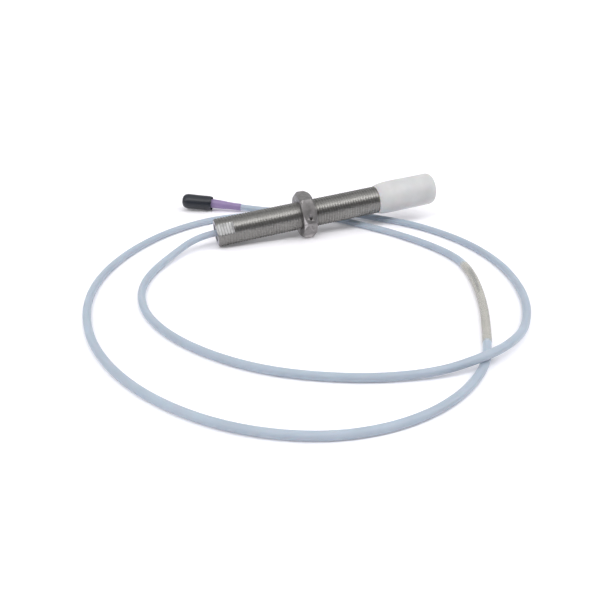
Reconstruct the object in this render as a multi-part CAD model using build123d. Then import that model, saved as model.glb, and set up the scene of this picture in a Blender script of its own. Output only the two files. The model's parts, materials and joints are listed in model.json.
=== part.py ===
"""Proximity probe: a threaded steel case with a hex lock nut, a capped sensing tip and a coaxial cable.

Lengths are in millimetres. The case pieces are drawn along +X from the cable end of the case, and the
connector pieces along +X from the mouth of their cap. Both groups are then set down where they lie on
the surface Z = 0, with the cable in two loops between them. The case's thread is drawn as ring grooves
at its pitch, without their lead, and the nut's is a plain bore. Each piece is written to parts/ as its
own STEP file.
"""
from build123d import *
import math
import os

# ---- case ----
thread_diameter = 12.7
thread_pitch = 1.27
thread_depth = 0.4
thread_crest = 0.55
thread_root = 0.2
thread_runout = 1.6
case_length = 77.6
case_bore = 8.0
case_chamfer = 0.6
flats_across = 11.4
flats_length = 7.7
flats_angle = 34.0

# ---- lock nut ----
nut_across_flats = 19.05
nut_thickness = 6.35
nut_position = 39.0
nut_chamfer_angle = 48.0
wire_hole_diameter = 1.5
wire_hole_inset = 1.5
wire_hole_count = 2

# ---- sensing tip ----
tip_diameter = 11.0
tip_length = 9.0
tip_edge_radius = 0.8
tip_face = 1.2
tip_stem_length = 10.0
tip_bore = 6.4
coil_inner_diameter = 2.4
coil_thickness = 2.4
former_base = 1.4
lead_diameter = 0.3
lead_offset = 1.9

# ---- cable, and its stripped end inside the case ----
cable_diameter = 3.0
braid_diameter = 2.4
dielectric_diameter = 1.7
conductor_diameter = 0.7
jacket_end = 50.0
strip_step = 3.5
crimp_length = 6.0
crimp_wall = 0.6
crimp_inset = 2.0
bush_length = 5.0
bush_recess = 0.2
potting_start = 10.0

# ---- soft cap over the sensing tip ----
tip_cap_length = 29.4
tip_cap_mouth_diameter = 13.1
tip_cap_swell_diameter = 15.2
tip_cap_end_diameter = 14.5
tip_cap_end_radius = 2.6
tip_cap_wall = 1.6
tip_cap_swell_start = 4.0
tip_cap_swell_peak = 12.5
tip_cap_seat_gap = 1.0

# ---- connector ----
ferrule_diameter = 3.7
ferrule_length = 7.0
ferrule_overlap = 3.0
connector_body_diameter = 4.6
connector_flange_diameter = 5.6
connector_flange_start = 5.0
connector_flange_length = 1.0
connector_length = 11.2
connector_bore = 3.4
insulator_neck_diameter = 1.8
insulator_inset = 1.0
pin_diameter = 0.86
pin_point = 0.6
coupling_diameter = 6.2
coupling_length = 5.4
coupling_bore = 5.2
coupling_lip = 0.8
coupling_flutes = 20
flute_diameter = 0.5
ring_width = 0.4
ring_groove_depth = 0.2
ring_gap = 0.3

# ---- cap over the connector ----
connector_cap_length = 15.1
connector_cap_mouth_diameter = 7.4
connector_cap_end_diameter = 7.5
connector_cap_end_radius = 3.2
connector_cap_lip_radius = 0.25
connector_cap_end_wall = 1.4
connector_cap_inner_corner = 1.8

# ---- sleeves shrunk on the cable ----
strain_sleeve_length = 15.0
strain_sleeve_overlap = 2.0
strain_sleeve_wall = 0.25
strain_sleeve_shoulder = 1.5
marker_start = 730.0
marker_end = 789.0
marker_label_thickness = 0.06
marker_sleeve_thickness = 0.14
marker_sleeve_margin = 3.0

# ---- clearances on the radius, unless named otherwise ----
nut_clearance = 0.06
press_clearance = 0.02
tip_cap_clearance = 0.15
connector_cap_clearance = 0.15
coupling_clearance = 0.05
cable_clearance = 0.03
axial_gap = 0.1
surface_gap = 0.05

# ---- how the connector lies: its cap's mouth, its heading from +X and its rise towards the closed end ----
connector_mouth = (-47.3, 41.2)
connector_heading = 158.0
connector_rise = 4.0

# ---- cable route: X, Y and the height above lying on the surface, from the case to the connector ----
cable_route = [
    (-53.33, 0.00, 4.73), (-61.60, 0.00, 4.04), (-73.9, -7.8, 0.9), (-86.0, -21.8, 0.1), (-91.2, -37.5, 0.0),
    (-89.5, -56.5, 0.0), (-78.9, -77.4, 0.0), (-59.0, -97.7, 0.0), (-32.1, -111.1, 0.0), (-7.1, -117.0, 0.5),
    (9.3, -118.3, 3.8), (23.0, -114.4, 3.8), (38.2, -102.9, 0.6), (51.3, -84.4, 0.0), (57.4, -59.4, 0.0),
    (54.2, -34.1, 0.0), (42.2, -11.1, 0.0), (26.0, 4.7, 0.0), (14.3, 11.9, 0.8), (4.7, 16.0, 3.6),
    (-5.5, 19.7, 3.6), (-17.5, 23.2, 0.7), (-33.4, 25.9, 0.0), (-52.3, 26.0, 0.0), (-74.2, 17.6, 0.0),
    (-93.6, 0.8, 0.0), (-107.0, -20.7, 0.0), (-111.9, -44.8, 0.0), (-109.1, -71.0, 0.0), (-97.4, -97.1, 0.0),
    (-77.7, -118.8, 0.0), (-53.6, -132.1, 0.0), (-30.1, -135.8, 0.0), (-7.2, -131.2, 0.0),
    (11.9, -118.9, 0.1), (22.5, -102.7, 0.25), (33.1, -80.8, 0.25), (41.5, -56.8, 0.25), (40.5, -40.6, 0.2),
    (29.9, -18.4, 0.0), (14.6, 0.9, 0.0), (2.5, 16.0, 0.0), (-11.2, 27.6, 0.0), (-31.11, 34.66, 0.98),
    (-46.38, 40.83, 2.13),
]
arc_share = 0.45


def turned(outline):
    """A solid turned about the X axis from (position along X, radius) corners."""
    return revolve(make_face(Polyline(*[(x, r) for x, r in outline], close=True)), Axis.X)


def rod(start, end, diameter, bore=0.0):
    """A plain round bar or tube along X."""
    return turned([(start, bore / 2), (end, bore / 2), (end, diameter / 2), (start, diameter / 2)])


def radial(angle):
    """The direction square to X at an angle counted from -Y towards +Z."""
    return Vector(0, -math.cos(math.radians(angle)), math.sin(math.radians(angle)))


def hex_bar(start, end, across_flats):
    """A hexagonal bar along X, with one flat facing down."""
    plane = Plane(origin=(start, 0, 0), x_dir=(0, 0, 1), z_dir=(1, 0, 0))
    hexagon = plane * RegularPolygon(across_flats / 2, 6, major_radius=False, rotation=30)
    return extrude(hexagon, end - start, dir=(1, 0, 0))


# ------------------------------------------------------------------ case

def thread_outline():
    """The thread's ring grooves along the case, as (position, radius) corners from front to rear."""
    crest, root = thread_diameter / 2, thread_diameter / 2 - thread_depth
    flank = (thread_pitch - thread_crest - thread_root) / 2
    grooves = int((case_length - 2 * thread_runout) / thread_pitch)
    front = (case_length + grooves * thread_pitch - thread_crest) / 2
    corners = []
    for k in range(grooves):
        x = front - k * thread_pitch
        rear = x - flank - thread_root
        corners += [(x, crest), (x - flank, root), (rear, root), (rear - flank, crest)]
    return corners


def probe_case():
    """The threaded tube, chamfered at both ends, with two wrench flats beside the cable."""
    r = thread_diameter / 2
    tube = turned([
        (0, case_bore / 2), (case_length, case_bore / 2), (case_length, r - case_chamfer),
        (case_length - case_chamfer, r), *thread_outline(), (case_chamfer, r), (0, r - case_chamfer),
    ])
    for side in (0, 180):
        out = radial(flats_angle + side)
        plane = Plane(origin=out * (flats_across / 2), x_dir=(1, 0, 0), z_dir=out)
        slab = Pos(0, 0, r / 2) * Box(2 * flats_length, 2 * thread_diameter, r)
        tube -= plane * slab
    return tube


def lock_nut():
    """The hex nut, chamfered on both faces, with wire holes through two opposite corners."""
    start, end = nut_position, nut_position + nut_thickness
    middle = (start + end) / 2
    corner = nut_across_flats / math.sqrt(3)
    flat = nut_across_flats / 2
    drop = (corner - flat) * math.tan(math.radians(nut_chamfer_angle))
    envelope = turned([
        (start, 0), (end, 0), (end, flat), (end - drop, corner), (start + drop, corner), (start, flat),
    ])
    nut = hex_bar(start, end, nut_across_flats) & envelope
    nut -= rod(start - 1, end + 1, thread_diameter + 2 * nut_clearance)
    for k in range(wire_hole_count):
        angle = 360 / wire_hole_count * k
        centre = Vector(middle, 0, 0) + radial(angle) * (corner - wire_hole_inset)
        across = Plane(origin=centre, x_dir=(1, 0, 0), z_dir=radial(angle + 90))
        nut -= across * Cylinder(wire_hole_diameter / 2, nut_across_flats / 2)
    return nut


def rear_bush():
    """The bush that guides the cable into the case, just short of the rear face."""
    return rod(bush_recess, bush_recess + bush_length, case_bore - 2 * press_clearance,
               cable_diameter + 2 * cable_clearance)


# ------------------------------------------------------------------ sensing tip

tip_end = case_length + tip_length
stem_start = case_length - tip_stem_length
coil_end = tip_end - tip_face - axial_gap
coil_start = coil_end - coil_thickness
coil_outer_diameter = tip_bore - 2 * press_clearance


def tip_moulding():
    """The plastic tip: a round head in front of the case and a hollow stem in its bore."""
    stem = case_bore / 2 - press_clearance
    cup = turned([
        (stem_start, tip_bore / 2), (tip_end - tip_face, tip_bore / 2), (tip_end - tip_face, 0),
        (tip_end, 0), (tip_end, tip_diameter / 2), (case_length, tip_diameter / 2),
        (case_length, stem), (stem_start, stem),
    ])
    rim = cup.edges().filter_by(GeomType.CIRCLE).sort_by(Axis.X)[-1]
    return fillet(rim, tip_edge_radius)


def sensing_coil():
    """The flat coil behind the tip's face, as one ring."""
    return rod(coil_start, coil_end, coil_outer_diameter, coil_inner_diameter)


def coil_former():
    """The coil's former: a hub inside the coil and a disc behind it, pierced for the two leads."""
    base = coil_start - former_base
    former = turned([
        (base, 0), (coil_end, 0), (coil_end, coil_inner_diameter / 2 - press_clearance),
        (coil_start - axial_gap, coil_inner_diameter / 2 - press_clearance),
        (coil_start - axial_gap, coil_outer_diameter / 2), (base, coil_outer_diameter / 2),
    ])
    for side in (-1, 1):
        hole = rod(base - 1, coil_start + 1, lead_diameter + 2 * press_clearance)
        former -= Pos(0, side * lead_offset, 0) * hole
    return former


conductor_end = jacket_end + 3 * strip_step
braid_end = jacket_end + strip_step


def bent_wire(points, diameter):
    """A thin wire of straight lengths with rounded elbows."""
    wire = Sphere(diameter / 2).moved(Location(points[0]))
    for a, b in zip(points[:-1], points[1:]):
        run = Vector(*b) - Vector(*a)
        plane = Plane(origin=a, z_dir=run)
        wire += plane * Cylinder(diameter / 2, run.length, align=(Align.CENTER, Align.CENTER, Align.MIN))
        wire += Sphere(diameter / 2).moved(Location(b))
    return wire


def coil_leads():
    """The coil's two leads, one to the centre conductor and one to the braid."""
    front = coil_start - axial_gap
    elbow = (stem_start + conductor_end) / 2
    joint_gap = lead_diameter / 2 + press_clearance
    signal = bent_wire([
        (front, -lead_offset, 0), (elbow, -lead_offset, 0),
        (conductor_end - strip_step / 4, -conductor_diameter / 2 - joint_gap, 0),
    ], lead_diameter)
    shield = bent_wire([
        (front, lead_offset, 0), (braid_end - strip_step / 2, braid_diameter / 2 + joint_gap, 0),
    ], lead_diameter)
    return Compound(children=[signal.solid(), shield.solid()])


# ------------------------------------------------------------------ cable end inside the case

crimp_end = jacket_end - crimp_inset
crimp_start = crimp_end - crimp_length
crimp_diameter = cable_diameter + 2 * cable_clearance + 2 * crimp_wall


def cable_layers():
    """The cable's own layers inside the case, each stripped back further than the one in it."""
    return {
        "cable_jacket_tail": rod(0, jacket_end, cable_diameter, braid_diameter),
        "cable_braid": rod(0, braid_end, braid_diameter, dielectric_diameter),
        "cable_dielectric": rod(0, braid_end + strip_step, dielectric_diameter, conductor_diameter),
        "centre_conductor": rod(0, conductor_end, conductor_diameter),
    }


def crimp_ring():
    """The ring that anchors the cable in the potting."""
    return rod(crimp_start, crimp_end, crimp_diameter, cable_diameter + 2 * cable_clearance)


def potting():
    """The resin round the cable, from behind the bush to the end of the jacket."""
    fill = rod(potting_start, jacket_end - axial_gap, case_bore - 2 * press_clearance,
               cable_diameter + 2 * cable_clearance)
    groove = rod(crimp_start - press_clearance, crimp_end + press_clearance, crimp_diameter + 2 * press_clearance)
    return fill - groove


# ------------------------------------------------------------------ soft cap over the tip

tip_cap_start = case_length + axial_gap
tip_cap_end = tip_cap_start + tip_cap_length


def tip_cap():
    """The soft cap: a mouth as wide as the case, a gentle swell and a rounded closed end."""
    start, end, corner = tip_cap_start, tip_cap_end, tip_cap_end_radius
    mouth, swell, last = tip_cap_mouth_diameter / 2, tip_cap_swell_diameter / 2, tip_cap_end_diameter / 2
    bore = tip_diameter / 2 + tip_cap_clearance
    inner_end = end - tip_cap_wall
    seat_end = tip_end + tip_cap_seat_gap
    near = (start + tip_cap_swell_start, (mouth + 2 * swell) / 3)
    peak = (start + tip_cap_swell_peak, swell)
    edge = (end - corner, last)
    outline = (
        Spline((start, mouth), near, peak, edge)
        + RadiusArc(edge, (end, last - corner), corner)
        + Polyline((end, last - corner), (end, 0), (inner_end, 0), (inner_end, bore - corner / 2),
                   (inner_end - corner, bore), (seat_end, bore), (start, bore), (start, mouth))
    )
    return revolve(make_face(outline), Axis.X)


# ------------------------------------------------------------------ connector

cable_end = -1.0
ferrule_start = ferrule_overlap + cable_end - ferrule_length
body_start = cable_end + axial_gap
ferrule_end = ferrule_start + ferrule_length
flange_end = connector_flange_start + connector_flange_length
coupling_start = flange_end + axial_gap
coupling_end = coupling_start + coupling_length
ring_start = coupling_start + coupling_lip + ring_gap
neck_diameter = cable_diameter + 2 * cable_clearance


def connector_ferrule():
    """The sleeve crimped over the cable's end and the connector's rear neck."""
    return rod(ferrule_start, ferrule_end, ferrule_diameter, neck_diameter + 2 * press_clearance)


def connector_body():
    """The connector's metal shell: rear neck, flange, and the tube round the contact."""
    tube, flange, neck = connector_body_diameter / 2, connector_flange_diameter / 2, neck_diameter / 2
    bore, hole = connector_bore / 2, insulator_neck_diameter / 2 + press_clearance
    groove = tube - ring_groove_depth
    return turned([
        (body_start, hole), (flange_end, hole), (flange_end, bore), (connector_length, bore),
        (connector_length, tube), (ring_start + ring_width, tube), (ring_start + ring_width, groove),
        (ring_start, groove), (ring_start, tube), (flange_end, tube), (flange_end, flange),
        (connector_flange_start, flange), (connector_flange_start, tube), (ferrule_end + axial_gap, tube),
        (ferrule_end + axial_gap, neck), (body_start, neck),
    ])


def coupling_nut():
    """The fluted nut that turns on the shell, with a lip behind the retaining ring."""
    lip = connector_body_diameter / 2 + coupling_clearance
    outer, bore = coupling_diameter / 2, coupling_bore / 2
    lip_end = coupling_start + coupling_lip
    nut = turned([
        (coupling_start, lip), (lip_end, lip), (lip_end, bore), (coupling_end, bore),
        (coupling_end, outer), (coupling_start, outer),
    ])
    flute = rod(lip_end, coupling_end + 1, flute_diameter)
    for k in range(coupling_flutes):
        nut -= flute.moved(Location(radial(360 / coupling_flutes * k) * outer))
    return nut


def retaining_ring():
    """The ring in the shell's groove that keeps the coupling nut on."""
    inner = connector_body_diameter - 2 * ring_groove_depth + 2 * press_clearance
    return rod(ring_start + press_clearance, ring_start + ring_width - press_clearance,
               coupling_bore - 2 * coupling_clearance, inner)


def connector_insulator():
    """The plastic core that centres the contact in the shell."""
    neck, core, hole = insulator_neck_diameter / 2, connector_bore / 2 - press_clearance, pin_diameter / 2
    step = flange_end + press_clearance
    front = connector_length - insulator_inset
    return turned([
        (body_start, hole), (front, hole), (front, core), (step, core),
        (step, neck), (body_start, neck),
    ])


def contact_pin():
    """The centre contact, with a cone at its free end."""
    r = pin_diameter / 2
    return turned([
        (body_start, 0), (connector_length, 0), (connector_length, r / 3),
        (connector_length - pin_point, r), (body_start, r),
    ])


def connector_cap():
    """The push-on cap over the connector, narrower at its mouth and rounded at its closed end."""
    mouth, last = connector_cap_mouth_diameter / 2, connector_cap_end_diameter / 2
    corner, lip, end = connector_cap_end_radius, connector_cap_lip_radius, connector_cap_length
    bore = coupling_diameter / 2 + connector_cap_clearance
    inner_end = end - connector_cap_end_wall
    inner_corner = connector_cap_inner_corner
    outline = (
        RadiusArc((0, mouth - lip), (lip, mouth), lip)
        + Line((lip, mouth), (end - corner, last))
        + RadiusArc((end - corner, last), (end, last - corner), corner)
        + Polyline((end, last - corner), (end, 0), (inner_end, 0), (inner_end, bore - inner_corner),
                   (inner_end - inner_corner, bore), (0, bore), (0, mouth - lip))
    )
    return revolve(make_face(outline), Axis.X)


def strain_sleeve():
    """The coloured sleeve shrunk over the ferrule and the cable behind it."""
    grip, cable = ferrule_diameter / 2 + cable_clearance, cable_diameter / 2 + cable_clearance
    shoulder = ferrule_start - strain_sleeve_shoulder
    start = -strain_sleeve_length
    outline = [(start, cable), (shoulder, cable), (ferrule_start, grip), (strain_sleeve_overlap, grip)]
    outer = [(x, r + strain_sleeve_wall) for x, r in reversed(outline)]
    return turned(outline + outer)


# ------------------------------------------------------------------ cable between them

def route_points():
    """The cable's corner points, at their real heights."""
    lying = cable_diameter / 2 + surface_gap
    return [Vector(x, y, lying + lift) for x, y, lift in cable_route]


def route_radii(points):
    """One arc radius for each corner, as large as its two runs allow."""
    radii = []
    for a, b, c in zip(points[:-2], points[1:-1], points[2:]):
        turn = math.radians((b - a).get_angle(c - b))
        shorter = min((b - a).length, (c - b).length)
        radii.append(arc_share * shorter / math.tan(turn / 2))
    return radii


points = route_points()
radii = route_radii(points)
path = FilletPolyline(*points, radius=radii)


def tube_on(wire, diameter):
    """A round bar along a stretch of the cable's path."""
    return sweep((wire ^ 0) * Circle(diameter / 2), path=wire)


def stretch(start, end):
    """The cable's path between two distances from the case."""
    return path.wire().trim(start / path.length, end / path.length)


def marker_label():
    """The bare label wrapped round the cable."""
    wire = stretch(marker_start + marker_sleeve_margin, marker_end - marker_sleeve_margin)
    inner = cable_diameter + 2 * cable_clearance
    return tube_on(wire, inner + 2 * marker_label_thickness) - tube_on(wire, inner)


def marker_sleeve():
    """The clear sleeve shrunk over the label."""
    wire = stretch(marker_start, marker_end)
    inner = cable_diameter + 4 * cable_clearance + 2 * marker_label_thickness
    return tube_on(wire, inner + 2 * marker_sleeve_thickness) - tube_on(wire, inner)


# ------------------------------------------------------------------ setting down

# The case lies on its rear rim and on the rear edge of the nut's lower flat, so its tip points up a little.
tilt = math.degrees(math.atan2(nut_across_flats / 2 - thread_diameter / 2, nut_position - case_chamfer))

case_pieces = {
    "probe_case": probe_case(),
    "lock_nut": lock_nut(),
    "rear_bush": rear_bush(),
    "tip_moulding": tip_moulding(),
    "sensing_coil": sensing_coil(),
    "coil_former": coil_former(),
    "coil_leads": coil_leads(),
    **cable_layers(),
    "crimp_ring": crimp_ring(),
    "potting": potting(),
    "tip_cap": tip_cap(),
}
leaning = Compound([piece.moved(Rot(Y=-tilt)) for piece in case_pieces.values()]).bounding_box()
case_place = Pos(-(leaning.min.X + leaning.max.X) / 2, 0, -leaning.min.Z) * Rot(Y=-tilt)

connector_pieces = {
    "connector_ferrule": connector_ferrule(),
    "connector_body": connector_body(),
    "coupling_nut": coupling_nut(),
    "retaining_ring": retaining_ring(),
    "connector_insulator": connector_insulator(),
    "contact_pin": contact_pin(),
    "connector_cap": connector_cap(),
    "strain_sleeve": strain_sleeve(),
}
mouth_height = connector_cap_mouth_diameter / 2 + surface_gap
connector_place = (
    Pos(connector_mouth[0], connector_mouth[1], mouth_height)
    * Rot(Z=connector_heading)
    * Rot(Y=-connector_rise)
)

cable_pieces = {
    "signal_cable": tube_on(path.wire(), cable_diameter),
    "marker_label": marker_label(),
    "marker_sleeve": marker_sleeve(),
}

placed = {name: piece.moved(case_place) for name, piece in case_pieces.items()}
placed.update({name: piece.moved(connector_place) for name, piece in connector_pieces.items()})
placed.update(cable_pieces)

os.makedirs("parts", exist_ok=True)
for name, piece in placed.items():
    export_step(piece, f"parts/{name}.step")

print("case tilt", round(tilt, 3), "case origin", case_place.position, "connector origin", connector_place.position)
print("cable length", round(path.length, 1), "arc radii", [round(r, 1) for r in radii])
section_volume = math.pi * (cable_diameter / 2) ** 2 * path.length
print("cable volume", round(cable_pieces["signal_cable"].volume, 1), "section x length", round(section_volume, 1))
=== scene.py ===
import json
import math

import bmesh
import bpy
import numpy as np
from bpy.props import FloatProperty, FloatVectorProperty, PointerProperty
from mathutils import Matrix, Vector


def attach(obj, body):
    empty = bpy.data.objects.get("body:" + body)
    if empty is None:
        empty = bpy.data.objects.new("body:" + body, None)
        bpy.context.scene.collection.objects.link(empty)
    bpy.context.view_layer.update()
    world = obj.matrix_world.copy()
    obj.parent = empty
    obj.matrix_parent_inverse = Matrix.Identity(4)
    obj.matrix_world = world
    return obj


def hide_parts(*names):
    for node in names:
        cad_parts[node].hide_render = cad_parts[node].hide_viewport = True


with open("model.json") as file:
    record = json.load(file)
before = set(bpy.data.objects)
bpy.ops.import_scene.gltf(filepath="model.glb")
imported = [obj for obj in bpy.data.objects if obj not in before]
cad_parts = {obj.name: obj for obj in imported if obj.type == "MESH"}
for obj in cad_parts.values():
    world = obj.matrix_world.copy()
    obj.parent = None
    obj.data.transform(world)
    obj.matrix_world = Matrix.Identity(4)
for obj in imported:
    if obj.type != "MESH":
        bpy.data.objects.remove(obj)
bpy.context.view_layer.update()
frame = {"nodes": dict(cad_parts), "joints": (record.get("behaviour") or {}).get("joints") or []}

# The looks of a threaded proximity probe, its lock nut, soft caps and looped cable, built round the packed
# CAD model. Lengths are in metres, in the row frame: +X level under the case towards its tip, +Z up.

bl_info = {
    "name": "Proximity probe",
    "version": (1, 0, 0),
    "blender": (4, 5, 0),
    "location": "View3D > Sidebar > Probe",
    "description": "Builds the visible pieces of a threaded proximity probe and its cable round the CAD frame",
    "category": "Object",
}

MM = 0.001
JOINTS = {joint["name"]: joint for joint in frame["joints"]}

# The cable's route, X, Y and Z of each point: those of the CAD source, of which the ones beside the marker sleeve
# and behind the case are moved by up to 3 mm.
CABLE_ROUTE = [
    (-0.05333, 0, 0.00628), (-0.0616, 0, 0.00559), (-0.0739, -0.0078, 0.00245), (-0.086, -0.0218, 0.00165),
    (-0.0912, -0.0375, 0.00155), (-0.0895, -0.0565, 0.00155), (-0.0789, -0.0774, 0.00155),
    (-0.059, -0.0977, 0.00155), (-0.0321, -0.1111, 0.00155), (-0.0071, -0.117, 0.00205),
    (0.0093, -0.1183, 0.00535), (0.023, -0.1144, 0.00535), (0.0382, -0.1029, 0.00215),
    (0.0513, -0.0844, 0.00155), (0.0579, -0.0595, 0.00155), (0.0549, -0.0343, 0.00155),
    (0.0427, -0.0111, 0.00155), (0.026, 0.0047, 0.00155), (0.0143, 0.0119, 0.00235), (0.0047, 0.016, 0.00515),
    (-0.0075, 0.0199, 0.00535), (-0.0195, 0.0231, 0.0023), (-0.0334, 0.0259, 0.00155),
    (-0.0523, 0.026, 0.00155), (-0.0742, 0.0176, 0.00155), (-0.0936, 0.0008, 0.00155),
    (-0.107, -0.0207, 0.00155), (-0.1119, -0.0448, 0.00155), (-0.1091, -0.071, 0.00155),
    (-0.0974, -0.0971, 0.00155), (-0.0777, -0.1188, 0.00155), (-0.0536, -0.1321, 0.00155),
    (-0.0301, -0.1358, 0.00155), (-0.0072, -0.1312, 0.00155), (0.0119, -0.1189, 0.00165),
    (0.0223, -0.1026, 0.0018), (0.0339, -0.0811, 0.0018), (0.0425, -0.0571, 0.0018), (0.0415, -0.0409, 0.00175),
    (0.0303, -0.0185, 0.00155), (0.0146, 0.0009, 0.00155), (0.0025, 0.015, 0.00155), (-0.0095, 0.023, 0.00155),
    (-0.022, 0.0292, 0.00155), (-0.033, 0.0347, 0.0023), (-0.04638, 0.04083, 0.00368),
]
CABLE_LENGTH = 0.925


# ------------------------------------------------------------------ sizes and colours

def length(name, description, millimetres):
    """A length in metres, with its default given in millimetres."""
    return FloatProperty(name=name, description=description, default=millimetres * MM, min=0.0,
                         subtype="DISTANCE", unit="LENGTH", precision=5)


def colour(name, description, red, green, blue):
    """A colour with its linear red, green and blue."""
    return FloatVectorProperty(name=name, description=description, default=(red, green, blue), size=3,
                               min=0.0, max=1.0, subtype="COLOR")


class ProbeSizes(bpy.types.PropertyGroup):
    """The sizes of the pieces that are not read from the CAD frame."""

    thread_pitch: length("Thread pitch", "Distance from one crest of the case's thread to the next", 1.27)
    thread_depth: length("Thread depth", "Height of the case's thread", 0.27)
    thread_crest: length("Thread crest", "Width of the thread's crests", 0.42)
    thread_root: length("Thread root", "Width of the thread's roots", 0.14)
    flats_across: length("Wrench flats", "Distance across the two wrench flats", 11.4)
    flats_length: length("Flats length", "Length of the wrench flats from the rear face", 7.7)
    flats_turn: FloatProperty(name="Flats turn", description="Direction of the upper flat, from +Y over +Z",
                              default=math.radians(146), subtype="ANGLE")
    case_bore: length("Case bore", "Diameter of the bore of the case", 8.0)
    case_chamfer: length("Case chamfer", "Chamfer at both ends of the case", 0.6)
    nut_edge: length("Nut edge", "How far the nut's edges are broken", 0.22)
    tip_cap_wall: length("Tip cap wall", "Wall of the soft cap over the sensing tip", 1.6)
    tip_cap_corner: length("Tip cap corner", "Rounding of the closed end of the cap over the tip", 3.0)
    connector_cap_corner: length("Connector cap corner", "Rounding of the closed end of the connector's cap", 3.4)
    cable_diameter: length("Cable diameter", "Diameter of the cable over its jacket", 3.0)
    marker_start: length("Marker start", "Distance along the cable from the case to the marker sleeve", 730.0)
    marker_end: length("Marker end", "Distance along the cable from the case to the marker sleeve's end", 789.0)
    sleeve_length: length("Strain sleeve", "Length of the coloured sleeve outside the connector's cap", 15.0)


class ProbeColours(bpy.types.PropertyGroup):
    """The colours of the probe's finishes."""

    steel: colour("Steel", "Stainless steel of the threaded case", 0.36, 0.353, 0.336)
    # A paler tone painted into the thread's roots to offset the shade that falls in them: painted light.
    root: colour("Thread root", "Cleaner, paler steel in the roots of the thread", 0.43, 0.422, 0.41)
    milled: colour("Milled steel", "Bright steel of the wrench flats", 0.82, 0.82, 0.82)
    # A paler, violet-tinted copy of the steel for the case's two end faces: painted light.
    end_faces_painted_light: colour("Faced steel", "Pale steel of the case's two end faces", 0.56, 0.54, 0.58)
    nut_steel: colour("Nut steel", "Machined steel of the lock nut", 0.283, 0.272, 0.27)
    white_cap: colour("White cap", "Soft cap over the sensing tip", 0.62, 0.62, 0.62)
    black_cap: colour("Black cap", "Soft cap over the connector", 0.014, 0.017, 0.025)
    jacket: colour("Cable jacket", "Pale blue jacket of the cable", 0.425, 0.49, 0.57)
    purple: colour("Strain sleeve", "Sleeve shrunk over the connector's ferrule", 0.29, 0.21, 0.395)
    label: colour("Label", "Bare label round the cable", 0.43, 0.42, 0.385)
    smudge: colour("Label smudge", "Worn patch on the label", 0.10, 0.105, 0.115)
    bush: colour("Bush", "Moulded bush in the case's rear face", 0.30, 0.295, 0.31)
    tip_plastic: colour("Tip plastic", "Moulded sensing tip", 0.55, 0.47, 0.33)
    copper: colour("Copper", "Coil and leads", 0.78, 0.36, 0.20)
    tinned: colour("Tinned copper", "Braid and rings", 0.62, 0.62, 0.60)
    dark_plastic: colour("Former plastic", "Coil former", 0.035, 0.035, 0.04)
    resin: colour("Resin", "Potting inside the case", 0.02, 0.018, 0.016)
    dielectric: colour("Dielectric", "White insulation inside the cable and the connector", 0.84, 0.84, 0.82)
    gold: colour("Gold plate", "Plating of the connector", 0.83, 0.58, 0.24)
    floor: colour("Floor", "The surface that the probe lies on", 0.95, 0.935, 0.97)


# ------------------------------------------------------------------ where the CAD pieces lie

def axis_place(node, joint):
    """Where a turned CAD node lies: its start on its axis, its three directions, its length and its radius.

    The first direction is the joint's axis, the second is level and the third completes them. The lowest and
    highest vertex along each direction give the start, the length and, halfway between, the axis itself."""
    along = np.array(JOINTS[joint]["axis"], float)
    along /= np.linalg.norm(along)
    side = np.cross((0.0, 0.0, 1.0), along)
    side /= np.linalg.norm(side)
    axes = np.array([along, side, np.cross(along, side)])
    mesh = frame["nodes"][node].data
    corners = np.empty(len(mesh.vertices) * 3)
    mesh.vertices.foreach_get("co", corners)
    reach = corners.reshape(-1, 3) @ axes.T
    low, high = reach.min(0), reach.max(0)
    middle = (low + high) / 2
    start = np.array([low[0], middle[1], middle[2]]) @ axes
    return start, axes, high[0] - low[0], (high[1] - low[1]) / 2


def set_down(points, start, axes):
    """Points given along and across a piece's own axis, carried to the row frame."""
    return start + points @ axes


# ------------------------------------------------------------------ surfaces as grids of points

def grid_faces(rows, columns, ring=False):
    """The quads between the points of a grid. The last column joins the first, and with ring the last row too."""
    row, column = np.meshgrid(np.arange(rows if ring else rows - 1), np.arange(columns), indexing="ij")
    here, beside = row * columns, (column + 1) % columns
    after = (row + 1) % rows * columns
    return np.stack([here + column, here + beside, after + beside, after + column], axis=-1).reshape(-1, 4)


def surface(name, points, faces, finish, body, sharp=35.0, depth=None, straight=None):
    """A piece from points and quads: doubles merged, poles and seams closed, faces turned outwards, then put on its
    CAD body. depth is one value and straight one place for each point, kept for the finish to read."""
    mesh = bpy.data.meshes.new(name)
    mesh.from_pydata(points.reshape(-1, 3).tolist(), [], faces.tolist())
    mesh.materials.append(finish)
    if depth is not None:
        mesh.attributes.new("depth", "FLOAT", "POINT").data.foreach_set("value", depth.ravel().astype(np.float32))
    if straight is not None:
        mesh.attributes.new("straight", "FLOAT_VECTOR", "POINT").data.foreach_set(
            "vector", straight.ravel().astype(np.float32))
    tidy_mesh(mesh)
    mesh.shade_smooth()
    mesh.set_sharp_from_angle(angle=math.radians(sharp))
    piece = bpy.data.objects.new(name, mesh)
    bpy.context.scene.collection.objects.link(piece)
    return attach(piece, body)


def tidy_mesh(mesh, distance=2e-6):
    """Merges a mesh's doubles, drops the faces and edges that this flattens and turns the rest outwards."""
    work = bmesh.new()
    work.from_mesh(mesh)
    bmesh.ops.remove_doubles(work, verts=work.verts, dist=distance)
    bmesh.ops.dissolve_degenerate(work, edges=work.edges, dist=distance / 4)
    bare = [edge for edge in work.edges if not edge.link_faces]
    bmesh.ops.delete(work, geom=bare, context="EDGES")
    bmesh.ops.recalc_face_normals(work, faces=work.faces)
    work.to_mesh(mesh)
    work.free()


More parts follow.
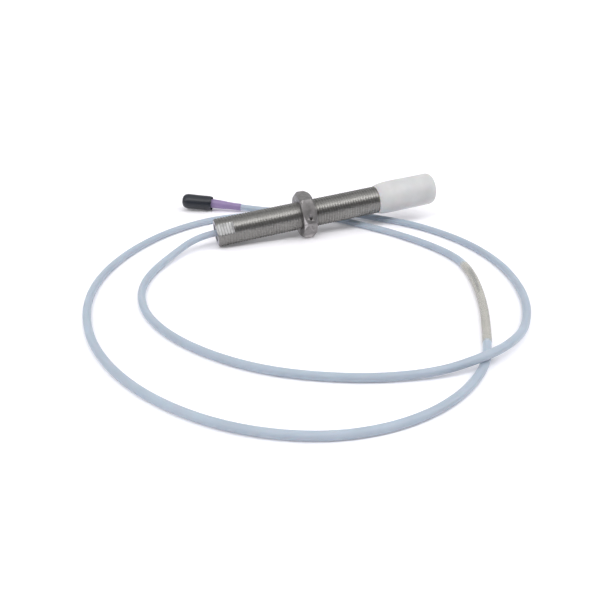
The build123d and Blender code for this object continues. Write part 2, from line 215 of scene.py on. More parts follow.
def rounded(corners, steps=7):
    """An outline of (along, radius, rounding) corners with each corner swapped for a bend.

    The bend is the parabola from the point a rounding before the corner to the point a rounding after it, drawn
    towards the corner: (1 - t)^2 before + 2 t (1 - t) corner + t^2 after."""
    corners = np.array(corners, float)
    point, size = corners[:, :2], corners[:, 2:]
    before, after = np.roll(point, 1, axis=0) - point, np.roll(point, -1, axis=0) - point
    before = point + before / np.linalg.norm(before, axis=1, keepdims=True) * size
    after = point + after / np.linalg.norm(after, axis=1, keepdims=True) * size
    t = np.linspace(0, 1, steps)[None, :, None]
    bends = (1 - t) ** 2 * before[:, None] + 2 * t * (1 - t) * point[:, None] + t ** 2 * after[:, None]
    return bends.reshape(-1, 2)


def turned(outline, columns=96):
    """An outline carried round the X axis: along stays, and the radius r turns into (r cos t, r sin t)."""
    t = np.linspace(0, 2 * math.pi, columns, endpoint=False)
    along, radius = outline[:, :1], outline[:, 1:]
    return np.stack([along + 0 * t, radius * np.cos(t), radius * np.sin(t)], axis=-1)


def uneven(points, amount, waves):
    """Points pushed out and in across the X axis, as soft plastic is: by amount times a sum of slow sine waves in the
    angle and along the axis, with waves turns for each metre."""
    angle, along = np.arctan2(points[..., 2], points[..., 1]), points[..., 0] * 2 * math.pi * waves
    swell = np.sin(2 * angle + along) + 0.6 * np.sin(3 * angle - 1.7 * along + 1) + 0.4 * np.sin(along + 2)
    away = np.hypot(points[..., 1], points[..., 2])
    share = amount * swell / np.maximum(away, amount)
    moved = points.copy()
    moved[..., 1:] *= (1 + share * np.clip(away / away.max() * 2 - 1, 0, 1))[..., None]
    return moved


def line_stations(line, start, end, count):
    """Points spread evenly along a line of points between two distances from its first, and the directions there."""
    steps = np.linalg.norm(np.diff(line, axis=0), axis=1)
    travelled = np.concatenate([[0.0], np.cumsum(steps)])
    wanted = np.linspace(start, end, count)
    points = np.stack([np.interp(wanted, travelled, line[:, k]) for k in range(3)], axis=-1)
    direction = np.gradient(points, axis=0)
    return points, direction / np.linalg.norm(direction, axis=1, keepdims=True)


def tube(points, directions, outer, inner, columns=40):
    """A tube round a line: at each station two circles square to the line, one of the outer and one of the inner
    radius. The rows run out along the outside and back along the inside, and join at both ends."""
    side = np.cross(directions, (0.0, 0.0, 1.0))
    side /= np.linalg.norm(side, axis=1, keepdims=True)
    up = np.cross(side, directions)
    t = np.linspace(0, 2 * math.pi, columns, endpoint=False)[None, :, None]
    circle = side[:, None] * np.cos(t) + up[:, None] * np.sin(t)
    outside = points[:, None] + circle * outer[:, None, None]
    inside = points[:, None] + circle * inner[:, None, None]
    return np.concatenate([outside, inside[::-1]])


def straightened(x, radius, columns=40):
    """Where the points of such a tube would lie if its line were straight: x along it, and round it in a circle."""
    t = np.linspace(0, 2 * math.pi, columns, endpoint=False)
    along = np.concatenate([x, x[::-1]])[:, None]
    return np.stack([along + 0 * t, radius * np.cos(t) + 0 * along, radius * np.sin(t) + 0 * along], axis=-1)


# ------------------------------------------------------------------ finishes

def add(tree, kind, settings=(), **inputs):
    """A new node. Each input is a value or another node's output, with _ for a space in its name."""
    node = tree.nodes.new("ShaderNode" + kind)
    for name, value in dict(settings).items():
        setattr(node, name, value)
    for name, value in inputs.items():
        socket = node.inputs[name.replace("_", " ")]
        if isinstance(value, bpy.types.NodeSocket):
            tree.links.new(value, socket)
        else:
            socket.default_value = value
    return node


def worked(tree, kind, operation, *values):
    """The outputs of a new Math or VectorMath node. Each value is a number, a vector or another node's output."""
    node = add(tree, kind, {"operation": operation})
    for socket, value in zip(node.inputs, values):
        if isinstance(value, bpy.types.NodeSocket):
            tree.links.new(value, socket)
        else:
            socket.default_value = value
    return node.outputs


def new_finish(name, tone, roughness, **sockets):
    """A material whose shader has this colour, roughness and further values."""
    material = bpy.data.materials.new(name)
    material.use_nodes = True
    shader = material.node_tree.nodes["Principled BSDF"]
    shader.inputs["Base Color"].default_value = (*tone, 1.0)
    shader.inputs["Roughness"].default_value = roughness
    for socket, value in sockets.items():
        shader.inputs[socket.replace("_", " ")].default_value = value
    return material, material.node_tree, shader


def own_place(tree, place=None):
    """Where a point lies on its piece: in the row frame, or along and across the piece's own axis if place is
    given."""
    spot = add(tree, "TexCoord").outputs["Object"]
    if place is None:
        return spot
    start, axes = place
    turn = Matrix(axes.tolist()).to_euler("XYZ")
    return add(tree, "Mapping", Vector=spot, Location=tuple(-(axes @ start)), Rotation=turn).outputs["Vector"]


def noise(tree, spot, scale, detail=3.0, stretch=None):
    """Soft noise from 0 to 1 with scale lumps for each metre, stretched along the three directions if asked."""
    if stretch is not None:
        spot = add(tree, "Mapping", Vector=spot, Scale=stretch).outputs["Vector"]
    return add(tree, "TexNoise", Vector=spot, Scale=scale, Detail=detail).outputs["Fac"]


def ranged(tree, value, low, high, start=0.3, end=0.7):
    """value from start to end turned into low to high."""
    return add(tree, "MapRange", Value=value, From_Min=start, From_Max=end, To_Min=low, To_Max=high).outputs["Result"]


def blend_tones(tree, share, first, second):
    """The colour between two others, at share of the way from the first."""
    mix = tree.nodes.new("ShaderNodeMix")
    mix.data_type = "RGBA"
    tree.links.new(share, mix.inputs["Factor"])
    for socket, tone in zip([s for s in mix.inputs if s.type == "RGBA"], (first, second)):
        if isinstance(tone, bpy.types.NodeSocket):
            tree.links.new(tone, socket)
        else:
            socket.default_value = (*tone, 1.0)
    return next(s for s in mix.outputs if s.type == "RGBA")


def bumped(tree, shader, height, distance, strength=1.0):
    """Lets a height from 0 to 1 raise the surface by up to distance metres."""
    bump = add(tree, "Bump", Height=height, Distance=distance, Strength=strength)
    tree.links.new(bump.outputs["Normal"], shader.inputs["Normal"])


def toned(colour_value, factor):
    """A colour made lighter or darker."""
    return tuple(min(1.0, c * factor) for c in colour_value)


def threaded_steel(colours, place):
    """Stainless steel with slow changes of tone, roots between the crests painted paler to offset the shade in them,
    and bright, patchy milled flats.

    The attribute "depth" is 0 on a crest, 1 in a root and below 0 on a flat. The steel is rougher along the case
    than round it, as turned steel is, so its highlights run on from crest to crest. The two end faces, which look
    along the case, are equally rough all ways and painted as a paler, violet-tinted copy of the steel: painted light."""
    material, tree, shader = new_finish("threaded steel", colours.steel, 0.5, Metallic=1.0)
    spot = own_place(tree, place)
    lines = noise(tree, spot, 220, 4.0, stretch=(60, 1, 1))
    cloud = noise(tree, spot, 90, 3.0)
    depth = add(tree, "Attribute", {"attribute_name": "depth"}).outputs["Fac"]
    steel = blend_tones(tree, ranged(tree, cloud, 0, 1), toned(colours.steel, 0.90), toned(colours.steel, 1.08))
    # The roots are painted lighter than the crests: painted light that offsets the shade in the grooves.
    tone = blend_tones(tree, ranged(tree, depth, 0, 1, 0.3, 0.9), steel, tuple(colours.root))
    milled = ranged(tree, depth, 0, 1, -0.2, -0.9)
    patches = ranged(tree, noise(tree, spot, 300, 3.0), 0, 1, 0.38, 0.62)
    worn = blend_tones(tree, patches, toned(colours.milled, 0.72), tuple(colours.milled))
    tone = blend_tones(tree, milled, tone, worn)
    along = place[1][0]
    direction = add(tree, "CombineXYZ", X=along[0], Y=along[1], Z=along[2]).outputs["Vector"]
    normal = add(tree, "NewGeometry").outputs["True Normal"]
    facing = worked(tree, "Math", "ABSOLUTE", worked(tree, "VectorMath", "DOT_PRODUCT", normal, direction)["Value"])[0]
    end = ranged(tree, facing, 0, 1, 0.85, 0.95)
    # The end faces take a paler, violet-tinted copy of the steel: painted light.
    tree.links.new(blend_tones(tree, end, tone, tuple(colours.end_faces_painted_light)), shader.inputs["Base Color"])
    tree.links.new(ranged(tree, end, 0.95, 0, 0, 1), shader.inputs["Anisotropic"])
    rough = worked(tree, "Math", "ADD", ranged(tree, lines, 0.54, 0.66), ranged(tree, milled, 0, 0.27, 0, 1))[0]
    tree.links.new(rough, shader.inputs["Roughness"])
    tree.links.new(direction, shader.inputs["Tangent"])
    bumped(tree, shader, lines, 0.012 * MM)
    return material


def machined_steel(colours, place):
    """Machined steel: rings from facing round the nut's axis, fine grain, slow changes of tone, and a painted
    highlight on its broken edges.
    """
    material, tree, shader = new_finish("machined steel", colours.nut_steel, 0.38, Metallic=1.0)
    spot = own_place(tree, place)
    rings = add(tree, "TexWave", {"wave_type": "RINGS", "rings_direction": "X"}, Vector=spot, Scale=900.0,
                Distortion=2.0, Detail=2.0).outputs["Fac"]
    grain = noise(tree, spot, 1400, 5.0, stretch=(1, 1, 4))
    cloud = noise(tree, spot, 420, 4.0)
    tone = blend_tones(tree, ranged(tree, cloud, 0, 1, 0.35, 0.65), toned(colours.nut_steel, 0.82),
                       toned(colours.nut_steel, 1.14))
    # A painted highlight: the tone is 1.9 times lighter on the broken edges, found by their pointiness.
    edge = ranged(tree, add(tree, "NewGeometry").outputs["Pointiness"], 0, 1, 0.53, 0.60)
    tone = blend_tones(tree, edge, tone, toned(colours.nut_steel, 1.9))
    tree.links.new(tone, shader.inputs["Base Color"])
    tree.links.new(ranged(tree, grain, 0.34, 0.56), shader.inputs["Roughness"])
    bumped(tree, shader, worked(tree, "Math", "ADD", rings, grain)[0], 0.006 * MM)
    return material


def soft_plastic(name, tone, roughness, place, lump=0.05, **sockets):
    """Dipped soft plastic: a smooth skin with slow unevenness, a faint pebble and slight changes of tone."""
    material, tree, shader = new_finish(name, tone, roughness, **sockets)
    spot = own_place(tree, place)
    cloud = noise(tree, spot, 150, 3.0)
    pebble = noise(tree, spot, 2600, 2.0)
    shade = blend_tones(tree, ranged(tree, cloud, 0, 1), toned(tone, 0.93), toned(tone, 1.04))
    tree.links.new(shade, shader.inputs["Base Color"])
    tree.links.new(ranged(tree, pebble, roughness - 0.05, roughness + 0.07), shader.inputs["Roughness"])
    bumped(tree, shader, pebble, lump * MM)
    return material


def jacket_finish(colours):
    """Satin fluoropolymer jacket: pale blue with faint cloudiness, and a fine draw texture."""
    material, tree, shader = new_finish("cable jacket", colours.jacket, 0.36, Subsurface_Weight=0.12,
                                        Subsurface_Scale=0.6 * MM, IOR=1.38)
    spot = own_place(tree)
    cloud = noise(tree, spot, 120, 4.0)
    fine = noise(tree, spot, 1900, 3.0)
    shade = blend_tones(tree, ranged(tree, cloud, 0, 1), toned(colours.jacket, 0.95), toned(colours.jacket, 1.03))
    tree.links.new(shade, shader.inputs["Base Color"])
    tree.links.new(ranged(tree, fine, 0.30, 0.44), shader.inputs["Roughness"])
    bumped(tree, shader, fine, 0.010 * MM)
    return material


def label_finish(colours, long):
    """A bare label: pale tape, greyer in soft, long clouds, with streaks along it and one worn, darker patch.

    The attribute "straight" gives the place along and round the cable. The patch fades out with the distance from
    its middle, measured in its own length and width."""
    material, tree, shader = new_finish("bare label", colours.label, 0.55)
    spot = add(tree, "Attribute", {"attribute_name": "straight"}).outputs["Vector"]
    streaks = noise(tree, spot, 900, 3.0, stretch=(0.12, 1, 1))
    cloud = noise(tree, spot, 260, 2.0, stretch=(0.5, 1, 1))
    tape = blend_tones(tree, ranged(tree, streaks, 0, 1, 0.3, 0.7), toned(colours.label, 0.86),
                       toned(colours.label, 1.08))
    tape = blend_tones(tree, ranged(tree, cloud, 0, 0.5), tape, toned(colours.label, 0.80))
    middle = (0.75 * long, -0.0003, 0.0014)
    reach = (0.0095, 0.0009, 0.0009)
    near = add(tree, "Mapping", Vector=spot, Location=tuple(-m / r for m, r in zip(middle, reach)),
               Scale=tuple(1 / r for r in reach)).outputs["Vector"]
    away = worked(tree, "VectorMath", "LENGTH", near)["Value"]
    ragged = worked(tree, "Math", "ADD", away, ranged(tree, streaks, -0.45, 0.45))[0]
    shade = blend_tones(tree, ranged(tree, ragged, 0.95, 0, 0.55, 1.2), tape, tuple(colours.smudge))
    tree.links.new(shade, shader.inputs["Base Color"])
    tree.links.new(ranged(tree, streaks, 0.48, 0.62), shader.inputs["Roughness"])
    return material


def clear_sleeve_finish():
    """Clear shrink tube: see-through, slightly yellowed, with a soft gloss and faint streaks along it."""
    material, tree, shader = new_finish("clear sleeve", (0.80, 0.79, 0.74), 0.22, Alpha=0.22)
    spot = add(tree, "Attribute", {"attribute_name": "straight"}).outputs["Vector"]
    ripple = noise(tree, spot, 600, 2.0, stretch=(0.15, 1, 1))
    tree.links.new(ranged(tree, ripple, 0.18, 0.32), shader.inputs["Roughness"])
    bumped(tree, shader, ripple, 0.015 * MM)
    return material


def plain_grain(name, tone, roughness, grain, depth, **sockets):
    """A moulded, plated or cast finish: an even grain of that many lumps for each metre, slightly mottled."""
    material, tree, shader = new_finish(name, tone, roughness, **sockets)
    lumps = noise(tree, own_place(tree), grain, 4.0)
    shade = blend_tones(tree, ranged(tree, lumps, 0, 1), toned(tone, 0.88), toned(tone, 1.06))
    tree.links.new(shade, shader.inputs["Base Color"])
    tree.links.new(ranged(tree, lumps, roughness - 0.06, roughness + 0.08), shader.inputs["Roughness"])
    bumped(tree, shader, lumps, depth * MM)
    return material


# ------------------------------------------------------------------ pieces

class PROBE_OT_threaded_case(bpy.types.Operator):
    """Cut the case's thread, wrench flats, chamfers and bore"""

    bl_idname = "probe.threaded_case"
    bl_label = "Threaded case"

    # The shares of the pitch at which the thread's profile has a row of points.
    PHASES = np.array([0.0, 0.16, 0.22, 0.27, 0.36, 0.42, 0.58, 0.64, 0.73, 0.78, 0.84])

    def execute(self, context):
        sizes, colours = context.scene.probe_sizes, context.scene.probe_colours
        start, axes, long, radius = axis_place("probe_case", "lock_nut_travel")
        angle = self.angles(sizes)
        along, height, depth = self.thread(sizes, angle, long, radius)
        outside = np.stack([along, height * np.cos(angle), height * np.sin(angle)], axis=-1)
        rows, columns = along.shape
        bore = self.bore(sizes, angle, long, radius)
        points = np.concatenate([outside.reshape(-1, 3), bore.reshape(-1, 3)])
        faces = np.concatenate([self.helix_faces(rows, columns), grid_faces(4, columns) + rows * columns])
        shade = np.concatenate([depth.ravel(), np.zeros(bore.shape[0] * columns)])
        piece = surface("threaded_case", set_down(points, start, axes), faces,
                        threaded_steel(colours, (start, axes)), "probe", sharp=50.0, depth=shade)
        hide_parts("probe_case")
        return {"FINISHED"}

    def angles(self, sizes):
        """Angles round the case, closer together over the two wrench flats."""
        flat = np.linspace(-32, 32, 44, endpoint=False)
        plain = np.linspace(32, 148, 26, endpoint=False)
        half = np.concatenate([flat, plain])
        return (np.radians(np.concatenate([half, half + 180])) + sizes.flats_turn)[None, :]

    def from_flat(self, sizes, angle):
        """The angle, in degrees, from the middle of the nearer wrench flat."""
        return np.abs((np.degrees(angle - sizes.flats_turn) + 90) % 180 - 90)

    def profile(self, sizes, phase):
        """How deep the thread is at a share of its pitch: 0 on the crest, 1 in the root, and between them a flank
        that is mostly straight and eased at both ends."""
        away = np.abs((phase + 0.5) % 1.0 - 0.5) * sizes.thread_pitch
        room = (sizes.thread_pitch - sizes.thread_crest - sizes.thread_root) / 2
        flank = np.clip((away - sizes.thread_crest / 2) / room, 0, 1)
        return flank * flank * (3 - 2 * flank) * 0.5 + flank * 0.5

    def thread(self, sizes, angle, long, radius):
        """The helix: each row keeps one place in the thread's profile, so that x = pitch (turns + angle / full turn).

        Rows beyond an end are pulled back to it. The flats cut the radius to half their distance over the cosine
        of the angle from their middle, where the roots leave shallow traces, and the chamfers cut it to a cone."""
        inside_box, step, trace_depth, plain_end = 0.01 * MM, 0.03 * MM, 0.04 * MM, 0.3 * MM
        pitch = sizes.thread_pitch
        turns = math.ceil(long / pitch) + 2
        row = (np.arange(turns)[:, None] + self.PHASES[None, :]).ravel()[:, None]
        turn = (angle - angle[0, 0]) / (2 * math.pi)
        along = np.clip(pitch * (row + turn - 1), 0, long)
        from_flat = self.from_flat(sizes, angle)
        beside = from_flat < 31
        before = (along < sizes.flats_length) & (np.roll(along, -1, axis=0) >= sizes.flats_length)
        after = np.roll(before, 1, axis=0)
        along = np.where(beside & before, sizes.flats_length, along)
        along = np.where(beside & after, sizes.flats_length + step, along)
        depth = self.profile(sizes, along / pitch - turn)
        height = radius - inside_box - sizes.thread_depth * depth
        level = self.flat_level(sizes, angle)
        on_flat = (along <= sizes.flats_length) & (level < height)
        trace = np.clip((depth - 0.5) / 0.5, 0, 1) * np.clip(along / plain_end, 0, 1)
        height = np.where(on_flat, level - trace_depth * trace, height)
        cone = radius - sizes.case_chamfer + np.minimum(along, long - along)
        depth = np.where(on_flat, 0.6 * trace - 1, depth)
        return along, np.minimum(height, cone), np.where(cone < height, 0.0, depth)

    def helix_faces(self, rows, columns):
        """The quads of the helix. Past the last column a row goes on as the row one turn later."""
        phases = len(self.PHASES)
        faces = grid_faces(rows, columns)
        seam = faces[:, 0] % columns == columns - 1
        plain, last = faces[~seam], faces[seam][: rows - 1 - phases].copy()
        last[:, 1:3] += phases * columns
        return np.concatenate([plain, last])

    def bore(self, sizes, angle, long, radius):
        """Both end faces and the bore, as four rings."""
        end, hole = radius - sizes.case_chamfer, sizes.case_bore / 2
        rear = np.minimum(end, self.flat_level(sizes, angle))
        rings = [(0.0, rear), (0.0, hole + 0 * angle), (long, hole + 0 * angle), (long, end + 0 * angle)]
        return np.concatenate([np.stack([0 * angle + x, r * np.cos(angle), r * np.sin(angle)], axis=-1)
                               for x, r in rings])

    def flat_level(self, sizes, angle):
        """The radius at which a wrench flat lies at an angle."""
        return sizes.flats_across / 2 / np.cos(np.radians(np.minimum(self.from_flat(sizes, angle), 60)))


class PROBE_OT_lock_nut(bpy.types.Operator):
    """Break the edges of the lock nut and give it machined faces"""

    bl_idname = "probe.lock_nut"
    bl_label = "Lock nut"

    def execute(self, context):
        sizes, colours = context.scene.probe_sizes, context.scene.probe_colours
        start, axes, _, _ = axis_place("lock_nut", "lock_nut_travel")
        mesh = frame["nodes"]["lock_nut"].data.copy()
        mesh.name = "hex_lock_nut"
        mesh.materials.clear()
        work = bmesh.new()
        work.from_mesh(mesh)
        bmesh.ops.remove_doubles(work, verts=work.verts, dist=1e-6)
        bmesh.ops.dissolve_limit(work, angle_limit=math.radians(0.6), verts=work.verts, edges=work.edges)
        for face in work.faces:
            face.material_index = 0
        sharp = [e for e in work.edges if e.is_manifold and e.calc_face_angle(0) > math.radians(20)]
        bmesh.ops.bevel(work, geom=sharp, offset=sizes.nut_edge, offset_type="OFFSET", segments=3, profile=0.5,
                        affect="EDGES", clamp_overlap=True)
        bmesh.ops.recalc_face_normals(work, faces=work.faces)
        work.to_mesh(mesh)
        work.free()
        mesh.materials.append(machined_steel(colours, (start, axes)))
        mesh.shade_smooth()
        mesh.set_sharp_from_angle(angle=math.radians(28))
        nut = bpy.data.objects.new("hex_lock_nut", mesh)
        context.scene.collection.objects.link(nut)
        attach(nut, "lock_nut")
        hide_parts("lock_nut")
        return {"FINISHED"}


class PROBE_OT_tip_cap(bpy.types.Operator):
    """Mould the soft white cap over the sensing tip"""

    bl_idname = "probe.tip_cap"
    bl_label = "Tip cap"

    def execute(self, context):
        sizes, colours = context.scene.probe_sizes, context.scene.probe_colours
        start, axes, long, radius = axis_place("tip_cap", "tip_cap_pull")
        tip = axis_place("tip_moulding", "tip_cap_pull")[3]
        mouth, corner, wall = radius - 1.05 * MM, sizes.tip_cap_corner, sizes.tip_cap_wall
        shoulder, shoulder_reach, taper, sag, sag_reach = 1.12 * MM, 3.2 * MM, 0.011, 0.14 * MM, 5 * MM
        x = np.linspace(0, long - corner, 40)
        swell = mouth + shoulder * (1 - np.exp(-x / shoulder_reach)) - taper * x
        end = rounded([(long - corner, swell[-1], 0), (long, swell[-1] - 0.15 * MM, corner * 0.92), (long, 0, 0)], 14)
        hole = tip + 0.15 * MM
        inside = rounded([(long - wall, 0, 0), (long - wall, hole, corner * 0.8), (0, hole, 0.3 * MM),
                          (0, mouth, 0.35 * MM)], 7)
        outer = np.concatenate([np.stack([x[1:-1], swell[1:-1]], axis=-1), end[14:]])
        outline = np.concatenate([outer, inside[6:]])
        points = uneven(turned(outline, 112), 0.05 * MM, 28)
        lean = sag * (1 - np.exp(-points[..., 0] / sag_reach))
        points[: len(outer), :, 2] += lean[: len(outer)]
        piece = surface("soft_tip_cap", set_down(points, start, axes), grid_faces(*points.shape[:2], ring=True),
                        soft_plastic("white soft plastic", tuple(colours.white_cap), 0.50, (start, axes), 0.02,
                                     Subsurface_Weight=0.25, Subsurface_Scale=1.2 * MM), "tip_cap")
        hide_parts("tip_cap")
        return {"FINISHED"}


class PROBE_OT_connector_cap(bpy.types.Operator):
    """Mould the black push-on cap over the connector"""

    bl_idname = "probe.connector_cap"
    bl_label = "Connector cap"

    def execute(self, context):
        sizes, colours = context.scene.probe_sizes, context.scene.probe_colours
        start, axes, long, radius = axis_place("connector_cap", "connector_cap_pull")
        nut = axis_place("coupling_nut", "coupling_nut_turn")[3]
        mouth, corner, hole = radius - 0.05 * MM, sizes.connector_cap_corner, nut + 0.15 * MM
        edge, lip_reach, waist, closed_end = 0.12 * MM, 0.9 * MM, 0.06 * MM, 1.4 * MM
        x = (long - corner) * np.linspace(0, 1, 32) ** 1.8
        lip = (mouth - hole - edge) * np.exp(-(x / lip_reach) ** 1.4)
        wide = mouth + (radius - mouth) * (x / long) - waist * np.sin(math.pi * x / long) - lip
        end = rounded([(long - corner, wide[-1], 0), (long, wide[-1] - 0.1 * MM, corner * 0.95), (long, 0, 0)], 14)
        inside = rounded([(long - closed_end, 0, 0), (long - closed_end, hole, hole / 2), (0, hole, 0.08 * MM)], 7)
        outline = np.concatenate([np.stack([x, wide], axis=-1)[:-1], end[14:], inside[6:]])
        points = uneven(turned(outline, 80), 0.035 * MM, 45)
        piece = surface("soft_connector_cap", set_down(points, start, axes), grid_faces(*points.shape[:2], ring=True),
                        soft_plastic("black soft plastic", tuple(colours.black_cap), 0.36, (start, axes), 0.02),
                        "connector_cap")
        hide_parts("connector_cap")
        return {"FINISHED"}


class PROBE_OT_cable(bpy.types.Operator):
    """Lay the cable with its marker and strain sleeves"""

    bl_idname = "probe.cable"
    bl_label = "Cable and sleeves"

    def execute(self, context):
        sizes, colours = context.scene.probe_sizes, context.scene.probe_colours
        curve = bpy.data.curves.new("signal_cable_jacket", "CURVE")
        curve.dimensions = "3D"
        spline = curve.splines.new("NURBS")
        spline.points.add(len(CABLE_ROUTE) - 1)
        spline.points.foreach_set("co", np.array([(*p, 1.0) for p in CABLE_ROUTE]).ravel())
        spline.order_u = 3
        spline.use_endpoint_u = True
        curve.resolution_u = 20
        cable = bpy.data.objects.new("signal_cable_jacket", curve)
        context.scene.collection.objects.link(cable)
        line = self.centre_line(cable)
        curve.bevel_depth = sizes.cable_diameter / 2
        curve.bevel_resolution = 7
        curve.use_fill_caps = True
        curve.materials.append(jacket_finish(colours))
        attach(cable, "probe")
        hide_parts("signal_cable")
        carried = [*self.marker(sizes, colours, line), self.strain_sleeve(sizes, colours, line)]
        return {"FINISHED"}

    def centre_line(self, cable):
        """The points along the middle of the cable, read from its own spline."""
        mesh = bpy.data.meshes.new_from_object(cable)
        line = np.empty(len(mesh.vertices) * 3)
        mesh.vertices.foreach_get("co", line)
        bpy.data.meshes.remove(mesh)
        return line.reshape(-1, 3)

    def marker(self, sizes, colours, line):
        """The label wrapped round the cable, and the clear sleeve shrunk over it, thinner at its two ends."""
        scale = np.linalg.norm(np.diff(line, axis=0), axis=1).sum() / CABLE_LENGTH
        first, last = sizes.marker_start * scale, sizes.marker_end * scale
        half = sizes.cable_diameter / 2
        gap, tape, shrunk, wall, thinner = 0.02 * MM, 0.04 * MM, 0.05 * MM, 0.09 * MM, 0.04 * MM
        points, directions = line_stations(line, first + MM, last - MM, 90)
        inner = np.full(len(points), half + gap)
        label = surface("marker_tape", tube(points, directions, inner + tape, inner),
                        grid_faces(2 * len(points), 40, ring=True), label_finish(colours, last - first), "probe",
                        straight=straightened(np.linspace(0, last - first, len(points)), half))
        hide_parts("marker_label")
        points, directions = line_stations(line, first, last, 120)
        share = np.linspace(0, 1, len(points))
        from_end = np.minimum(share, 1 - share) * (last - first)
        grip = half + gap + shrunk * np.clip(from_end / MM, 0, 1)
        outer = grip + wall - thinner * np.exp(-from_end / (0.3 * MM))
        sleeve = surface("marker_clear_sleeve", tube(points, directions, outer, grip),
                         grid_faces(2 * len(points), 40, ring=True), clear_sleeve_finish(), "probe",
                         straight=straightened(share * (last - first), half))
        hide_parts("marker_sleeve")
        return label, sleeve

    def strain_sleeve(self, sizes, colours, line):
        """The coloured sleeve: tight on the cable, then widening over the ferrule, with small rings where it shrank.

        Its radius rises before the ferrule's step as 1 / (1 + e^-x) does, and swells towards its end as e^x does."""
        gap, wall, edge, in_cap, short = 0.02 * MM, 0.24 * MM, 0.1 * MM, 2 * MM, 0.1 * MM
        mouth, axes, _, _ = axis_place("connector_cap", "connector_cap_pull")
        ferrule, _, _, radius = axis_place("connector_ferrule", "connector_cap_pull")
        joined = np.concatenate([line, line[-1] + np.linspace(0.5, 3, 6)[:, None] * MM * axes[0]])
        end = np.linalg.norm(np.diff(joined, axis=0), axis=1).sum() - short
        long = sizes.sleeve_length + in_cap - short
        points, directions = line_stations(joined, end - long, end, 100)
        x = np.linspace(0, long, len(points))
        step = long - in_cap - np.dot(mouth - ferrule, axes[0])
        cable_grip, ferrule_grip = sizes.cable_diameter / 2 + gap, radius + gap
        rise = 1 / (1 + np.exp(-(x - step + 2.0 * MM) / (1.0 * MM)))
        swell = 0.26 * MM * np.exp((x - long) / (3.5 * MM))
        inner = cable_grip + (ferrule_grip - cable_grip) * rise + swell
        ripple = 0.015 * MM * np.sin(x / (0.9 * MM)) * np.exp(-((x - step) / (3 * MM)) ** 2)
        outer = inner + wall + ripple - edge * np.exp(-x / (0.2 * MM))
        sleeve = surface("purple_strain_sleeve", tube(points, directions, outer, inner),
                         grid_faces(2 * len(points), 40, ring=True),
                         soft_plastic("purple shrink tube", tuple(colours.purple), 0.38, (mouth, axes), 0.012),
                         "probe")
        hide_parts("strain_sleeve")
        return sleeve


class PROBE_OT_rear_bush(bpy.types.Operator):
    """Fit the moulded bush round the cable in the case's rear face"""

    bl_idname = "probe.rear_bush"
    bl_label = "Rear bush"

    def execute(self, context):
        sizes, colours = context.scene.probe_sizes, context.scene.probe_colours
        start, axes, long, radius = axis_place("rear_bush", "lock_nut_travel")
        hole = sizes.cable_diameter / 2 + 0.03 * MM
        outline = rounded([(0.35 * MM, hole, 0.25 * MM), (0.0, (hole + radius) / 2, 0.9 * MM),
                           (0.25 * MM, radius, 0.2 * MM), (long, radius, 0.1 * MM), (long, hole, 0.1 * MM)], 6)
        points = turned(outline, 64)
        piece = surface("cable_bush", set_down(points, start, axes), grid_faces(*points.shape[:2], ring=True),
                        soft_plastic("bush plastic", tuple(colours.bush), 0.45, (start, axes), 0.012), "probe")
        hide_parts("rear_bush")
        return {"FINISHED"}


class PROBE_OT_inner_parts(bpy.types.Operator):
    """Give the sensing tip, the coil, the cable's layers and the connector their finishes"""

    bl_idname = "probe.inner_parts"
    bl_label = "Inner parts"

    def execute(self, context):
        colours = context.scene.probe_colours
        finishes = {
            "moulded tip plastic": (colours.tip_plastic, 0.52, 2400, 0.012, {}),
            "copper": (colours.copper, 0.30, 3500, 0.006, {"Metallic": 1.0}),
            "tinned copper": (colours.tinned, 0.34, 3500, 0.006, {"Metallic": 1.0}),
            "former plastic": (colours.dark_plastic, 0.45, 2000, 0.010, {}),
            "potting resin": (colours.resin, 0.30, 600, 0.020, {}),
            "white dielectric": (colours.dielectric, 0.40, 1500, 0.008, {"Subsurface_Weight": 0.2}),
            "inner jacket": (colours.jacket, 0.36, 1900, 0.010, {}),
            "gold plate": (colours.gold, 0.24, 2600, 0.005, {"Metallic": 1.0}),
        }
        made = {name: plain_grain(name, tuple(tone), rough, grain, depth, **sockets)
                for name, (tone, rough, grain, depth, sockets) in finishes.items()}
        dressed = {
            "tip_moulding": "moulded tip plastic", "sensing_coil": "copper", "coil_leads": "copper",
            "coil_former": "former plastic", "cable_jacket_tail": "inner jacket", "cable_braid": "tinned copper",
            "cable_dielectric": "white dielectric", "centre_conductor": "copper", "crimp_ring": "tinned copper",
            "potting": "potting resin", "connector_ferrule": "gold plate", "connector_body": "gold plate",
            "coupling_nut": "gold plate", "retaining_ring": "tinned copper",
            "connector_insulator": "white dielectric", "contact_pin": "gold plate",
        }
        for node, name in dressed.items():
            slots = frame["nodes"][node].material_slots
            for slot in slots:
                slot.material = made[name]
        return {"FINISHED"}


# ------------------------------------------------------------------ stage

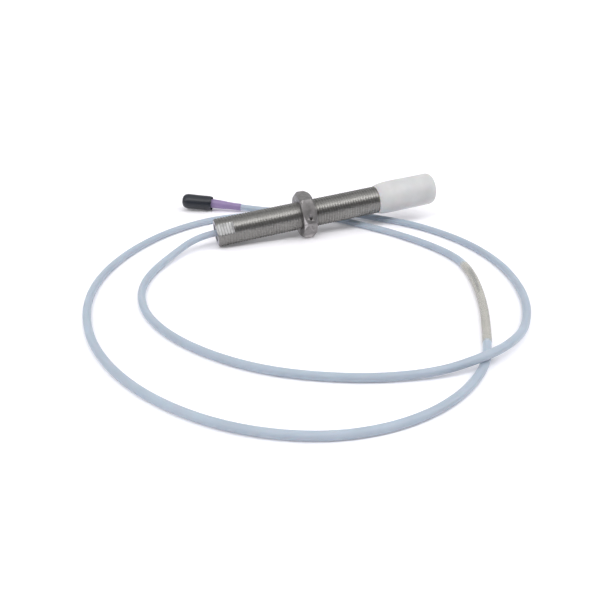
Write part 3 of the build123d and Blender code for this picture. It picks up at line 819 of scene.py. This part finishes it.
class PROBE_OT_stage(bpy.types.Operator):
    """Set up the floor, the soft light and the camera"""

    bl_idname = "probe.stage"
    bl_label = "Stage"

    def execute(self, context):
        scene, colours = context.scene, context.scene.probe_colours
        scene.view_settings.view_transform = "Standard"
        self.floor(colours)
        self.surroundings(scene)
        self.panel("overhead panel", place=(0.0, -0.47, 0.96), size=(5.0, 0.42), power=22.0)
        self.panel("top panel", place=(0.0, 0.12, 1.05), size=(5.0, 0.8), power=8.0)
        self.panel("rear panel", place=(0.0, 1.1, 0.55), size=(3.0, 0.5), power=2.6)
        camera = bpy.data.cameras.new("camera")
        camera.lens, camera.sensor_width = 37.2, 36.0
        camera.clip_start, camera.clip_end = 0.01, 50.0
        viewer = bpy.data.objects.new("camera", camera)
        viewer.location = (-0.09539, -0.2537, 0.1240)
        viewer.rotation_euler = (math.radians(59.0), 0.0, math.radians(-17.87))
        scene.collection.objects.link(viewer)
        scene.camera = viewer
        return {"FINISHED"}

    def floor(self, colours):
        """A wide plain disc under the probe that glows by its own emission: painted light, faint near the probe and
        rising from 0.3 m to a metre behind it.
        """
        t = np.linspace(0, 2 * math.pi, 96, endpoint=False)
        mesh = bpy.data.meshes.new("floor")
        mesh.from_pydata((np.stack([np.cos(t), np.sin(t), 0 * t], axis=-1) * 6.0).tolist(), [], [range(96)])
        material, tree, shader = new_finish("floor", colours.floor, 0.85, Emission_Color=(1.0, 1.0, 1.0, 1.0))
        # The floor's own glow, stronger further behind the probe: painted light.
        back = add(tree, "SeparateXYZ", Vector=add(tree, "TexCoord").outputs["Object"]).outputs["Y"]
        tree.links.new(ranged(tree, back, 0.10, 0.60, 0.3, 1.0), shader.inputs["Emission Strength"])
        mesh.materials.append(material)
        floor = bpy.data.objects.new("floor", mesh)
        bpy.context.scene.collection.objects.link(floor)

    def surroundings(self, scene):
        """Soft grey light from all sides, darker in a band along the case on the side that the camera is on."""
        world = bpy.data.worlds.new("studio")
        world.use_nodes = True
        tree = world.node_tree
        glow = tree.nodes["Background"]
        spot = add(tree, "TexCoord").outputs["Generated"]
        across = worked(tree, "VectorMath", "MULTIPLY", spot, (0.0, 1.0, 1.0))["Vector"]
        even = worked(tree, "VectorMath", "NORMALIZE", across)["Vector"]
        middle = Vector((0.0, -0.95, 0.31)).normalized()
        facing = worked(tree, "VectorMath", "DOT_PRODUCT", even, middle)["Value"]
        dark = ranged(tree, facing, 0.0, 1.0, 0.55, 0.90)
        tone = blend_tones(tree, dark, (0.40, 0.405, 0.415), (0.14, 0.14, 0.145))
        tree.links.new(tone, glow.inputs["Color"])
        glow.inputs["Strength"].default_value = 1.0
        scene.world = world

    def panel(self, name, place, size, power):
        """A soft light panel that faces the probe."""
        light = bpy.data.lights.new(name, "AREA")
        light.shape, light.energy = "RECTANGLE", power
        light.size, light.size_y = size
        lamp = bpy.data.objects.new(name, light)
        lamp.location = place
        lamp.rotation_euler = (-Vector(place)).to_track_quat("-Z", "Y").to_euler()
        bpy.context.scene.collection.objects.link(lamp)


PIECES = (PROBE_OT_threaded_case, PROBE_OT_lock_nut, PROBE_OT_tip_cap, PROBE_OT_connector_cap, PROBE_OT_rear_bush,
          PROBE_OT_inner_parts, PROBE_OT_cable, PROBE_OT_stage)


class PROBE_PT_panel(bpy.types.Panel):
    """The probe's sizes, colours and pieces"""

    bl_label = "Proximity probe"
    bl_idname = "PROBE_PT_panel"
    bl_space_type = "VIEW_3D"
    bl_region_type = "UI"
    bl_category = "Probe"

    def draw(self, context):
        for group in (context.scene.probe_sizes, context.scene.probe_colours):
            box = self.layout.box()
            for name in group.__annotations__:
                box.prop(group, name)
        for piece in PIECES:
            self.layout.operator(piece.bl_idname)


CLASSES = (ProbeSizes, ProbeColours, *PIECES, PROBE_PT_panel)


def register():
    """Adds the classes, and the two property groups to each scene."""
    for made in CLASSES:
        bpy.utils.register_class(made)
    bpy.types.Scene.probe_sizes = PointerProperty(type=ProbeSizes)
    bpy.types.Scene.probe_colours = PointerProperty(type=ProbeColours)


def unregister():
    """Takes the property groups and the classes away again."""
    del bpy.types.Scene.probe_colours
    del bpy.types.Scene.probe_sizes
    for made in reversed(CLASSES):
        bpy.utils.unregister_class(made)


def main():
    """Builds every piece and the stage."""
    register()
    bpy.ops.probe.threaded_case()
    bpy.ops.probe.lock_nut()
    bpy.ops.probe.tip_cap()
    bpy.ops.probe.connector_cap()
    bpy.ops.probe.rear_bush()
    bpy.ops.probe.inner_parts()
    bpy.ops.probe.cable()
    bpy.ops.probe.stage()


if __name__ == "__main__":
    main()
